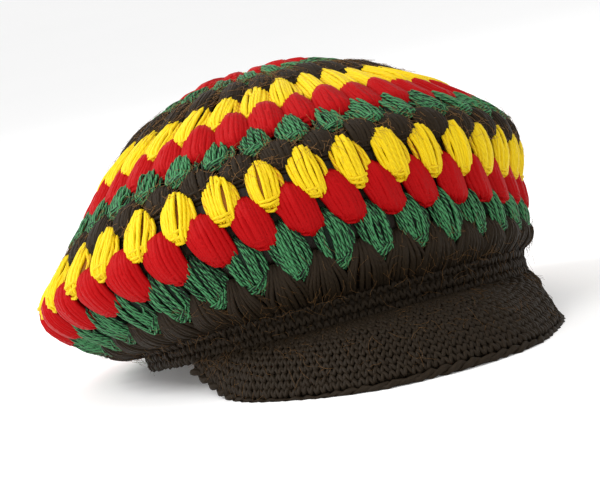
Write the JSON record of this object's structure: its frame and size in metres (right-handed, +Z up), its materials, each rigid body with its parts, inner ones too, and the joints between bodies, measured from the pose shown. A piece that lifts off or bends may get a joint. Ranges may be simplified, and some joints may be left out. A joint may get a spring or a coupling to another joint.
{
  "type": "crocheted tam with a peak",
  "caption": "Soft round crocheted tam in rounds of leaning puff stitches, gathered to a plain band with a soft curved peak; it lies on its rim and peak.",
  "frame": {"origin": "on the surface that the tam lies on, under the middle of its box", "axes": "+Z up, -Y towards the peak, +X towards the wearer's left, with the peak in front"},
  "size_m": [0.2274, 0.2654, 0.1296],
  "materials": {
    "yellow_yarn": "soft twisted yarn, slight sheen on the strands",
    "red_yarn": "soft twisted yarn, slight sheen on the strands",
    "green_yarn": "soft twisted yarn, slight sheen on the strands",
    "black_yarn": "brown-black hairy yarn, matt, with loose brown fibres"
  },
  "bodies": {
    "root": {"crown_centre": "yellow_yarn", "round_01_red": "red_yarn", "round_02_green": "green_yarn", "round_03_black": "black_yarn", "round_04_yellow": "yellow_yarn", "round_05_red": "red_yarn", "round_06_green": "green_yarn", "round_07_black": "black_yarn", "round_08_yellow": "yellow_yarn", "round_09_red": "red_yarn", "round_10_green": "green_yarn", "gather_round": "black_yarn", "band": "black_yarn", "peak": "black_yarn", "peak_edge": "black_yarn"}
  },
  "joints": []
}
